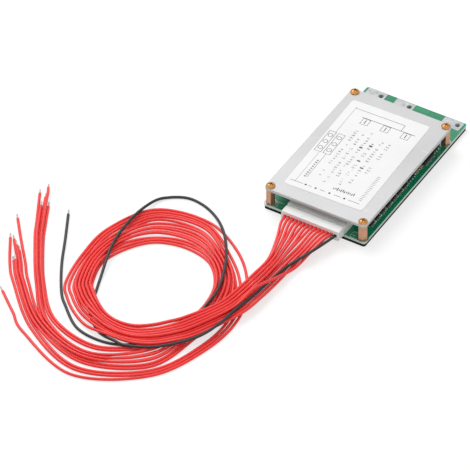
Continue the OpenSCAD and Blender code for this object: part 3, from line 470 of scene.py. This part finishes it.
# Height of each red wire at each cut
HEIGHTS = [
    (5.8, 5.8, 5.8, 5.8, 5.8, 5.8, 5.8, 5.8, 5.8, 5.8, 5.8, 5.8, 5.8),
    (4.2, 5.6, 4.2, 5.6, 4.2, 5.6, 4.2, 5.6, 4.2, 4.2, 4.2, 4.2, 3.9),
    (1.2, 2.8, 1.2, 2.8, 1.2, 2.8, 1.2, 2.8, 1.2, 1.2, 1.2, 1.2, 1.9),
    (2.4, 4, 2.4, 4, 2.4, 4, 2.4, 4, 2.4, 2.4, 2.4, 2.4, 5.6),
    (3.7, 5.3, 3.7, 5.3, 3.7, 5.3, 3.7, 5.3, 3.7, 3.7, 3.7, 3.7, 8.2),
    (3.8, 5.4, 3.8, 5.4, 3.8, 5.4, 3.8, 5.4, 3.8, 3.8, 3.8, 3.8, 5.6),
    (4.2, 5.8, 4, 5.6, 3.9, 5.5, 3.9, 5.5, 3.9, 3.9, 3.9, 3.9, 5.5),
    (3.8, 5.4, 3.8, 5.4, 3.8, 5.4, 3.8, 5.4, 3.8, 3.8, 3.8, 3.8, 5.4),
    (2, 3.6, 2, 3.6, 2, 3.6, 2, 3.6, 2, 2.2, 2.2, 2.4, 3.7),
    (0.1, 1.7, 0.1, 1.7, 0.1, 1.7, 0.1, 1.7, 0.2, 1, 1.7, 2, 2.5),
    (0, 1.6, 0, 1.6, 0, 1.7, 0, 2, 0.5, 1.4, 2.1, 2.9, 3),
    (0, 1.6, 0, 1.6, 0, 2.3, 0.8, 3.7, 2.2, 2, 1.7, 0.6, 3.7),
    (1.1, 3.3, 1.8, 3.6, 2, 3.6, 1.9, 3.4, 1.4, 0.4, 0, 0, 2.9),
    (1.9, 3.5, 1.6, 3.1, 0.6, 2.1, 0, 1.6, 0, 0, 0, 0, 1.6),
    (0.2, 1.8, 0, 1.6, 0, 1.6, 0, 1.6, 0, 0, 0, 0, 1.6),
    (0, 1.6, 0, 1.6, 0, 1.6, 0, 1.6, 0, 0, 0, 0, 1.6),
    (0, 0.2, 0, 1.6, 0, 1.6, 0, 1.6, 0, 0, 0, 0, 0.6),
    (0, 0.2, 0, 0.8, 0, 0.8, 0, 0.8, 0, 0, 0, 0, 0.4),
    (0, 0.6, 0, 0.6, 0, 0.6, 0, 0.7, 0, 0, 0, 0, 0.6),
    (0, 1.6, 0, 1.6, 0, 1.6, 0, 1.6, 0, 0, 0, 0, 1.6),
    (0, 1.6, 0, 1.6, 0, 1.6, 0, 1.6, 0, 0, 0, 0, 1.6),
    (0, 1.6, 0, 1.6, 0, 1.6, 0, 1.6, 0, 0, 0, 0, 0),
    (0, 0, 0, 1.6, 0, 1.6, 0, 1.6, 0, 0, 0, 0, 0), (0, 0, 0, 1.1, 0, 1.1, 0, 1.1, 0, 0, 0, 0, 0),
    (0, 0, 0, 1.6, 0, 1.6, 0, 1.6, 0, 0, 0, 0, 0),
    (0, 0.7, 0, 1.6, 0, 1.6, 0, 1.6, 0, 0, 0, 0, 1.6),
]
# Last stretch of each red wire, point by point
TAILS = [
    [(-105.6, -117.4, 0), (-123.4, -90, 0), (-131, -75.5, 0), (-137.6, -62, 0)],
    [(-106.5, -117.9, 1.6), (-124.8, -90, 1.6), (-132.5, -75.5, 1.6), (-140.4, -59.5, 1.7),
     (-143.4, -53.3, 1.5), (-146.1, -48.6, 0.4)],
    [(-107.5, -118.4, 0), (-126.2, -90, 0), (-134, -75.5, 0), (-143.2, -56.2, 0)],
    [(-108.4, -119, 1.6), (-127.6, -90, 1.6), (-135.4, -75.5, 1.6), (-140.6, -65.1, 1.6)],
    [(-109.4, -119.6, 0), (-129, -90, 0), (-136.9, -75.5, 0), (-147.8, -55, 0)],
    [(-113.2, -121.7, 0.5), (-123.8, -108.3, 0), (-136, -93.5, 0), (-147.1, -79.5, 0)],
    [(-115.2, -122.9, 0), (-125.5, -109.8, 0), (-131.7, -101.9, 0)],
    [(-116, -123.4, 1.6), (-126.3, -110.4, 1.6), (-134.3, -100.4, 1.6)],
    [(-116.9, -123.9, 0), (-127.1, -111, 0), (-139.3, -95.5, 0)],
    [(-118.6, -124.9, 0), (-129.8, -110.9, 0)],
    [(-120.4, -126, 0), (-130.5, -113.8, 0), (-141.9, -95.4, 0)],
    [(-107.3, -147, 0), (-121.7, -135.1, 0)], [(-117.8, -124.4, 1.6), (-128.4, -110.9, 1.6)],
]
# Points of the black wire after it leaves the plug
BLACK = [
    (15.9, -13, 5.8), (12.9, -24, 5.8), (6.3, -38, 3.1), (4.2, -54, 4.1), (3.5, -70, 5.5),
    (0.6, -87, 5.6), (-1, -101, 5.7), (-5.7, -114.3, 4.6), (-14.2, -125.8, 4),
    (-25.3, -135.1, 3.2), (-38.8, -139.9, 2), (-45.6, -139.7, 1.9), (-53, -138.5, 1),
    (-59, -135.8, 0), (-64.9, -131.4, 0), (-69.3, -126.9, 0), (-73, -121.6, 0),
    (-76.3, -110.3, 0), (-79.7, -100.5, 0), (-84.4, -85.5, 2.4), (-86.5, -78, 3.5),
    (-88.1, -70.3, 3.6), (-89.3, -62, 3.6), (-90, -44, 2.6), (-88, -28.5, 1), (-83.5, -21, 0),
    (-74, -15.7, 0), (-64, -16, 0), (-54, -20, 0.2), (-44, -28, 1.8), (-35.5, -37.6, 2.2),
    (-26.8, -51.5, 3.6), (-20.8, -65, 3.6), (-17.1, -77.6, 3.4), (-16.5, -88.8, 3.3),
    (-16.9, -97.5, 2.3), (-18.5, -106.9, 1.9), (-22.9, -117.1, 2), (-29.8, -127.3, 0.2),
    (-39.5, -137.5, 0), (-53, -142, 0), (-70, -139.7, 0), (-85.5, -127.3, 0), (-93.5, -118.5, 0),
    (-104.8, -100.2, 0), (-115, -80, 0), (-124.4, -61.9, 0),
]


def smooth_path(points, step):
    """Points a step apart on the smooth curve through the given ones, none below the table."""
    ends = [2 * points[0] - points[1], *points, 2 * points[-1] - points[-2]]
    path = []
    for a, b, c, d in zip(ends, ends[1:], ends[2:], ends[3:]):
        count = max(1, round((c - b).length / step))
        for t in (n / count for n in range(count)):
            p = (2 * b + (c - a) * t + (2 * a - 5 * b + 4 * c - d) * t * t
                 + (3 * b - a - 3 * c + d) * t * t * t) / 2
            path.append(Vector((p.x, p.y, max(p.z, WIRE_D / 2))))
    return [p * MM for p in (*path, points[-1])]


def wire_points(n):
    """Places that wire n goes through, from its end in the plug to the end of its insulation."""
    x = CONNECTOR_X + (n - (POLES - 1) / 2) * PITCH
    front = FRONT_Y / MM
    if n < len(TAILS):
        after = [
            (x0 + lane[n] * math.cos(math.radians(turn)),
             y0 + lane[n] * math.sin(math.radians(turn)), height[n])
            for (x0, y0, turn), lane, height in zip(CUTS, LANES, HEIGHTS)
        ] + TAILS[n]
    else:
        after = BLACK
    return [Vector((x, front + EXIT_Y + REACH_IN, EXIT_Z)), Vector((x, front + EXIT_Y, EXIT_Z))] + [
        Vector((px, front + py, pz + WIRE_D / 2)) for px, py, pz in after]


def bare_end(name, path, seed):
    """Tinned strands, twisted and a little uneven, that stand out of the insulation's end."""
    rng = random.Random(seed)
    along = (path[-1] - path[-2]).normalized()
    across = along.cross(Vector((0, 0, 1))).normalized()
    up = across.cross(along)
    lines = []
    for strand in range(ROUND_STRANDS + 1):
        ring = TIP_D / 3 if strand < ROUND_STRANDS else 0
        length = TIP_L * (1 - rng.uniform(0, 0.12))
        line = []
        for i in range(TIP_STEPS + 1):
            reach = length * i / TIP_STEPS
            angle = strand * math.tau / ROUND_STRANDS + reach * TIP_TWIST
            out = ring * (1 + 0.12 * rng.random() * i / TIP_STEPS)
            line.append(path[-1] + MM * (
                along * (reach if i else -TIP_START)
                + out * (math.cos(angle) * across + math.sin(angle) * up)))
        lines.append(line)
    return grown(name, lines_source(name, lines, 0.6), STRAND_TREE, Radius=TIP_D / 6 * MM,
                 Sides=TIP_SIDES, Finish=PAINT["strand"])


def make_wires():
    for n in range(POLES):
        red = n < POLES - 1
        name = f"red_lead_{n + 1}" if red else "black_lead"
        node = f"red_wire_{n + 1}" if red else "black_wire"
        path = smooth_path(wire_points(n), WIRE_STEP)
        piece = grown(name, lines_source(name, [path], CUT_END_WIDTH), STRAND_TREE,
                      Radius=WIRE_D / 2 * MM, Sides=WIRE_SIDES,
                      Finish=PAINT["red" if red else "black"])
        keep(piece)
        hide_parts(node)
        tip = keep(bare_end(f"bare_end_{n + 1}", path, n))
        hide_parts("tinned_ends")


make_wires()

# ---- Stamps that the small repeated marks are made of


def bar_stamp():
    """Flat bar of unit size standing on its base."""
    corners = [(x, y, z) for z in (0, 1) for x, y in ((-.5, -.5), (.5, -.5), (.5, .5), (-.5, .5))]
    faces = [(3, 2, 1, 0), (4, 5, 6, 7)]
    faces += [(i, (i + 1) % 4, (i + 1) % 4 + 4, i + 4) for i in range(4)]
    return new_object("bar_stamp", mesh_of("bar_stamp", corners, faces=faces))


def turned_stamp(name, profile, sides, closed=False):
    """Shape of revolution through (radius, height) pairs; a closed one is a ring."""
    points = [(r * math.cos(k * math.tau / sides), r * math.sin(k * math.tau / sides), z)
              for r, z in profile for k in range(sides)]
    rows = len(profile)
    faces = [(i * sides + k, i * sides + (k + 1) % sides,
              (i + 1) % rows * sides + (k + 1) % sides, (i + 1) % rows * sides + k)
             for i in range(rows if closed else rows - 1) for k in range(sides)]
    if not closed:
        faces += [tuple(reversed(range(sides))), tuple(range((rows - 1) * sides, rows * sides))]
    return new_object(name, mesh_of(name, points, faces=faces))


BAR = bar_stamp()
DISC = turned_stamp("disc_stamp", [(0.5, 0), (0.5, 1)], 20)
RING = turned_stamp("ring_stamp", [(0.5, 0), (0.5, 1), (0.4, 1), (0.4, 0)], 24, closed=True)
# Solder that wets a pad and rises to what it holds
MOUND = turned_stamp(
    "mound_stamp", [(0.5, 0), (0.46, 0.18), (0.36, 0.5), (0.24, 0.82), (0.1, 1)], 10)
CONE = turned_stamp(
    "cone_stamp", [(0.5, 0), (0.47, 0.12), (0.36, 0.3), (0.3, 0.6), (0.27, 1)], 12)

# ---- Print on the label


def label_marks():
    """Generic diagram of boxes, rings, rules and dashes. A mark is x, y, width and length."""
    rng = random.Random(4)
    black, faint, rings, dots = [], [], [], []

    def rule(store, x0, y0, x1, y1, width=0.28):
        store.append(((x0 + x1) / 2, (y0 + y1) / 2,
                      abs(x1 - x0) + width, abs(y1 - y0) + width))

    def box(x, y, w, h, width=0.26):
        for side in (-1, 1):
            rule(black, x - w / 2, y + side * h / 2, x + w / 2, y + side * h / 2, width)
            rule(black, x + side * w / 2, y - h / 2, x + side * w / 2, y + h / 2, width)

    # Outline of the diagram
    rule(black, -20, 35.5, 12, 35.5)
    rule(faint, -20, 12, -20, 35.5, 0.18)
    rule(faint, -20, -37, -20, -9, 0.18)
    rule(black, 12, 30.2, 12, 35.5)
    # Terminals along the back
    rule(black, -13, 30.2, 21, 30.2, 0.34)
    for x in (-9.5, 3.5, 16.5):
        box(x, 27.2, 4.6, 5.2)
        rule(black, x, 25.8, x, 28.6, 0.5)
    # Two columns of rings between rails
    for x, y in ((-21.5, 1.5), (-15.8, 1.5)):
        box(x, y, 4.2, 19)
        for step in (-6, 0, 6):
            rings.append((x, y + step, 3, 3))
    rule(black, -15.8, -8, -15.8, -31, 0.22)
    # Dashes in place of lines of print, along the label
    for x, start, end, share in (
            (-10, -26, 20, 0.75), (-5.6, -30, 17, 0.85), (-1.2, -22, 22, 0.8),
            (3.2, -30, 12, 0.85), (7.6, -26, 19, 0.75), (12, -12, 16, 0.7)):
        y = start
        while y < end:
            if rng.random() < share:
                store = black if rng.random() < 0.3 else faint
                for row in (-0.62, 0.1, 0.72):
                    if rng.random() < 0.72:
                        length = rng.uniform(0.7, 1.5)
                        rule(store, x + row, y, x + row, y + length - 0.3, 0.26)
                if rng.random() < 0.6:
                    rule(store, x - 0.6, y + 0.4, x + 0.7, y + 0.4, 0.22)
            y += 2.3
    for x, y in ((-1.2, 6.4), (3.2, -4.6), (7.6, -9.2), (3.2, 10.1)):
        rule(black, x - 0.5, y, x + 0.6, y, 1.0)
    # Fine marks at the front and the right
    for n in range(16):
        rule(faint, 19.2, -34 + 1.5 * n, 20.8 + 0.5 * rng.random(), -34 + 1.5 * n, 0.3)
    for n in range(9):
        rule(faint, -17.6, -31 + 1.9 * n, -16.8, -30.4 + 1.9 * n, 0.25)
    for n in range(12):
        rule(faint, 2 + 1.15 * n, -31.5 + 0.4 * (n % 3), 2.4 + 1.15 * n, -33 + 0.5 * (n % 2), 0.2)
    # Row of poles along the front
    for x0, x1 in ((-23, -15), (-11.5, -9.5), (-4, -1), (5, 9), (14, 21)):
        rule(black, x0, -37, x1, -37, 0.3)
    for x in (-13.2, -6.8, 2, 11.5):
        dots.append((x, -37, 1.3, 1.3))
    return black, faint, rings, dots


LABEL_AT = (-1.3, 51.3)
LABEL_TURN = math.radians(1.5)
# Thickness of the ink
PRINT_T = 0.015


def print_label():
    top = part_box("label")[1][2]
    cos, sin = math.cos(LABEL_TURN), math.sin(LABEL_TURN)

    def laid(marks):
        return [((LABEL_AT[0] + x * cos - y * sin) * MM,
                 FRONT_Y + (LABEL_AT[1] + x * sin + y * cos) * MM,
                 top, w * MM, h * MM, PRINT_T * MM, LABEL_TURN) for x, y, w, h in marks]

    black, faint, rings, dots = label_marks()
    stamps("label_print_black", BAR, laid(black), PAINT["ink"])
    stamps("label_print_grey", BAR, laid(faint), PAINT["faint"], 0.1, 3)
    stamps("label_print_rings", RING, laid(rings), PAINT["ink"])
    stamps("label_print_dots", DISC, laid(dots), PAINT["ink"])


print_label()

# ---- What is read from the frame's own meshes


def node_points(node):
    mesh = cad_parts[node].data
    points = np.empty(len(mesh.vertices) * 3)
    mesh.vertices.foreach_get("co", points)
    return points.reshape(-1, 3)


def islands(node):
    """Lowest and highest corner of every separate solid of a node."""
    points = node_points(node)
    _, same = np.unique(np.round(points / 1e-6).astype(np.int64), axis=0, return_inverse=True)
    same = same.reshape(-1)
    root = list(range(same.max() + 1))

    def find(a):
        while root[a] != a:
            root[a] = root[root[a]]
            a = root[a]
        return a

    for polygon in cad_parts[node].data.polygons:
        first = find(same[polygon.vertices[0]])
        for v in polygon.vertices[1:]:
            root[find(same[v])] = first
    groups = {}
    for v, a in enumerate(same):
        groups.setdefault(find(a), []).append(v)
    boxes = [(points[g].min(axis=0), points[g].max(axis=0)) for g in groups.values()]
    return sorted(boxes, key=lambda b: tuple(np.round(b[0], 6)))


# No leg is as wide as this, in metres
LEG_W = 1.2 * MM


def feet(node):
    """Middles of the upright legs of a node, from its lowest points."""
    points = node_points(node)
    low = points[points[:, 2] < points[:, 2].min() + 1e-5][:, :2]
    legs = []
    for p in low:
        for leg in legs:
            if np.abs(leg[0] - p).max() < LEG_W:
                leg.append(p)
                break
        else:
            legs.append([p])
    return [(np.min(leg, axis=0) + np.max(leg, axis=0)) / 2 for leg in legs]


# ---- Solder, end caps and legend on the board

CAPPED_NODES = ("chip_resistors", "bleed_resistors", "chip_capacitors", "shunt_resistors")
CAP_L, CAP_PROUD = 0.37, 0.02
# Lands on the board: how far they stand out past an end cap, their thickness, and for the
# leads of the chips their width and how much longer they are than the lead
LAND_PROUD, LAND_T = 0.35, 0.035
LEAD_LAND_W, LEAD_LAND_MORE = 0.7, 0.5
# Solder: its reach past an end cap and its share of the cap's height, its height on a chip's
# lead and how far it stays inside the land, and the cone round a leg through the board
CAP_SOLDER_L, CAP_SOLDER_H = 0.75, 0.55
LEAD_SOLDER_H, LEAD_SOLDER_IN = 0.2, 0.15
CONE_D, CONE_H = 2.0, 0.7


def solder_parts():
    pads, mounds, caps = [], [], []
    for node in CAPPED_NODES:
        for low, high in islands(node):
            size = (high - low) / MM
            middle = (high + low) / 2
            axis = 0 if size[0] > size[1] else 1
            for side in (-1, 1):
                at = middle.copy()
                at[axis] += side * (size[axis] - CAP_L) / 2 * MM
                extent = [size[0] + 2 * CAP_PROUD, size[1] + 2 * CAP_PROUD]
                extent[axis] = CAP_L + CAP_PROUD
                caps.append((at[0], at[1], low[2], extent[0] * MM, extent[1] * MM,
                             (size[2] + CAP_PROUD) * MM, 0))
                extent[axis] = CAP_L + 2 * LAND_PROUD
                pads.append((at[0], at[1], low[2], extent[0] * MM, extent[1] * MM,
                             LAND_T * MM, 0))
                at[axis] += side * CAP_L * MM
                extent[axis] = CAP_SOLDER_L
                mounds.append((at[0], at[1], low[2], extent[0] * MM, extent[1] * 0.95 * MM,
                               size[2] * CAP_SOLDER_H * MM, 0))
    for low, high in islands("chip_leads"):
        size = (high - low) / MM
        middle = (high + low) / 2
        axis = 0 if size[0] > size[1] else 1
        extent = [LEAD_LAND_W, LEAD_LAND_W]
        extent[axis] = size[axis] + LEAD_LAND_MORE
        pads.append((middle[0], middle[1], low[2], extent[0] * MM, extent[1] * MM,
                     LAND_T * MM, 0))
        mounds.append((middle[0], middle[1], low[2], (extent[0] - LEAD_SOLDER_IN) * MM,
                       (extent[1] - LEAD_SOLDER_IN) * MM, LEAD_SOLDER_H * MM, 0))
    stamps("solder_lands", BAR, pads, PAINT["tinned"], 0.02, 5)
    stamps("solder_mounds", MOUND, mounds, PAINT["solder"], 0.12, 6)
    stamps("end_caps", BAR, caps, PAINT["solder"])
    legs = [(x, y, BOARD_TOP, CONE_D * MM, CONE_D * MM, CONE_H * MM, 0)
            for node in ("mosfet_frames", "header_pins") for x, y in feet(node)]
    stamps("lead_solder", CONE, legs, PAINT["solder"], 0.08, 7)


LEGEND_T = 0.02
SCREW_LAND_D, SCREW_LAND_T = 7, 0.04


def board_legend():
    """White rules, polarity marks and outlines printed on the board."""
    marks = []

    def rule(x0, y0, x1, y1, width=0.22):
        marks.append(((x0 + x1) / 2 * MM, FRONT_Y + (y0 + y1) / 2 * MM, BOARD_TOP,
                      (abs(x1 - x0) + width) * MM, (abs(y1 - y0) + width) * MM, LEGEND_T * MM, 0))

    # Rules and polarity marks beside the connector
    rule(-31.5, 5.3, -22.6, 5.3)
    rule(23.2, 5.3, 31.5, 5.3)
    for x, upright in ((-27.2, True), (25, False)):
        rule(x - 1.1, 2.4, x + 1.1, 2.4, 0.34)
        if upright:
            rule(x, 1.3, x, 3.5, 0.34)
        for side in (-1, 1):
            rule(x - 2.1, 2.4 + side * 1.8, x + 2.1, 2.4 + side * 1.8, 0.2)
            rule(x + side * 2.1, 0.6, x + side * 2.1, 4.2, 0.2)
    # Outlines of the chips, with a short rule at the first lead
    for node in ("cell_chips", "cell_transistors", "controller_chips"):
        for low, high in islands(node):
            x0, y0 = low[0] / MM - 0.1, (low[1] - FRONT_Y) / MM - 0.35
            x1, y1 = high[0] / MM + 0.1, (high[1] - FRONT_Y) / MM + 0.35
            rule(x0, y0, x1, y0, 0.15)
            rule(x0, y1, x1, y1, 0.15)
            rule(x0 - 0.2, y1 + 0.45, x0 + 0.5, y1 + 0.45, 0.2)
    for node in CAPPED_NODES:
        for low, high in islands(node):
            x, y = (low[0] + high[0]) / 2 / MM, ((low[1] + high[1]) / 2 - FRONT_Y) / MM
            half_x = (high[0] - low[0]) / 2 / MM + 0.45
            half_y = (high[1] - low[1]) / 2 / MM + 0.3
            if half_x > half_y:
                rule(x - half_x * 0.4, y + half_y, x + half_x * 0.4, y + half_y, 0.13)
            else:
                rule(x + half_x, y - half_y * 0.4, x + half_x, y + half_y * 0.4, 0.13)
    stamps("board_legend", BAR, marks, PAINT["legend"])


def screw_lands():
    """Tinned rings round the standoffs."""
    rings = [((low[0] + high[0]) / 2, (low[1] + high[1]) / 2, BOARD_TOP, SCREW_LAND_D * MM,
              SCREW_LAND_D * MM, SCREW_LAND_T * MM, 0) for low, high in islands("standoffs")]
    stamps("screw_lands", RING, rings, PAINT["tinned"])


solder_parts()
board_legend()
screw_lands()
for stamp in (BAR, DISC, RING, MOUND, CONE):
    bpy.data.objects.remove(stamp)

# ---- Finishes of the frame's own parts

NODE_PAINT = {
    "foam_pad": "foam", "circuit_board": "board", "solder_pads": "tinned",
    "standoffs": "standoff", "board_screws": "screw", "heatsink_plate": "plate",
    "plate_screws": "screw", "label": "paper", "silicone_sheet": "silicone",
    "connector_header": "nylon", "header_pins": "strand", "plug_housing": "nylon",
    "crimp_contacts": "strand", "mosfet_bodies": "epoxy", "mosfet_frames": "strand",
    "shunt_resistors": "resistor", "cell_chips": "epoxy", "cell_transistors": "epoxy",
    "bleed_resistors": "resistor", "chip_resistors": "resistor", "chip_capacitors": "ceramic",
    "controller_chips": "epoxy", "chip_leads": "strand", "protection_diodes": "epoxy",
}
for node, paint in NODE_PAINT.items():
    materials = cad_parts[node].data.materials
    materials.clear()
    materials.append(PAINT[paint])

# ---- Stage: a white table, a soft key light and an even sky

FLOOR_R = 12
# The sky's strength as light, and what the eye sees of it
SKY_LIGHT, SKY_SEEN = 0.55, 1.0
# Lamps: place, power and size
LAMPS = {"key": ((-0.9, 0.4, 1.5), 17, 1.1), "fill": ((1.3, -1.2, 1.3), 4, 1.0)}


def seen_directly(tree):
    """1 for rays from the camera, a mirror or glass, so that they see the pale surroundings."""
    path = add(tree, "ShaderNodeLightPath").outputs
    first = add(tree, "ShaderNodeMath", {0: path["Is Camera Ray"], 1: path["Is Glossy Ray"]},
                operation="MAXIMUM")
    return add(tree, "ShaderNodeMath", {0: first.outputs[0], 1: path["Is Transmission Ray"]},
               operation="MAXIMUM").outputs[0]


def make_floor():
    material = bpy.data.materials.new("white_table")
    material.use_nodes = True
    tree = material.node_tree
    tree.nodes.clear()
    lit = add(tree, "ShaderNodeBsdfDiffuse", {"Color": (0.8, 0.8, 0.8, 1)})
    pale = add(tree, "ShaderNodeBsdfDiffuse", {"Color": (0.42, 0.42, 0.42, 1)})
    glow = add(tree, "ShaderNodeEmission", {"Color": (1, 1, 1, 1), "Strength": 0.64})
    both = add(tree, "ShaderNodeAddShader", {0: pale.outputs[0], 1: glow.outputs[0]})
    mixed = add(tree, "ShaderNodeMixShader", {
        0: seen_directly(tree), 1: lit.outputs[0], 2: both.outputs[0]})
    add(tree, "ShaderNodeOutputMaterial", {"Surface": mixed.outputs[0]})
    corners = [(-FLOOR_R, -FLOOR_R, 0), (FLOOR_R, -FLOOR_R, 0), (FLOOR_R, FLOOR_R, 0),
               (-FLOOR_R, FLOOR_R, 0)]
    floor = new_object("table", mesh_of("table", corners, faces=[(0, 1, 2, 3)]))
    floor.data.materials.append(material)


def make_light():
    world = bpy.data.worlds.new("sky")
    world.use_nodes = True
    tree = world.node_tree
    tree.nodes.clear()
    strength = add(tree, "ShaderNodeMapRange", {
        "Value": seen_directly(tree), "To Min": SKY_LIGHT, "To Max": SKY_SEEN})
    sky = add(tree, "ShaderNodeBackground", {
        "Color": (1, 1, 1, 1), "Strength": strength.outputs[0]})
    add(tree, "ShaderNodeOutputWorld", {"Surface": sky.outputs[0]})
    bpy.context.scene.world = world
    for name, (at, power, side) in LAMPS.items():
        data = bpy.data.lights.new(name, "AREA")
        data.energy, data.size = power, side
        lamp = bpy.data.objects.new(name, data)
        lamp.location = at
        lamp.rotation_euler = Vector(at).to_track_quat("Z", "Y").to_euler()
        bpy.context.collection.objects.link(lamp)


make_floor()
make_light()
bpy.context.scene.view_settings.view_transform = "Standard"
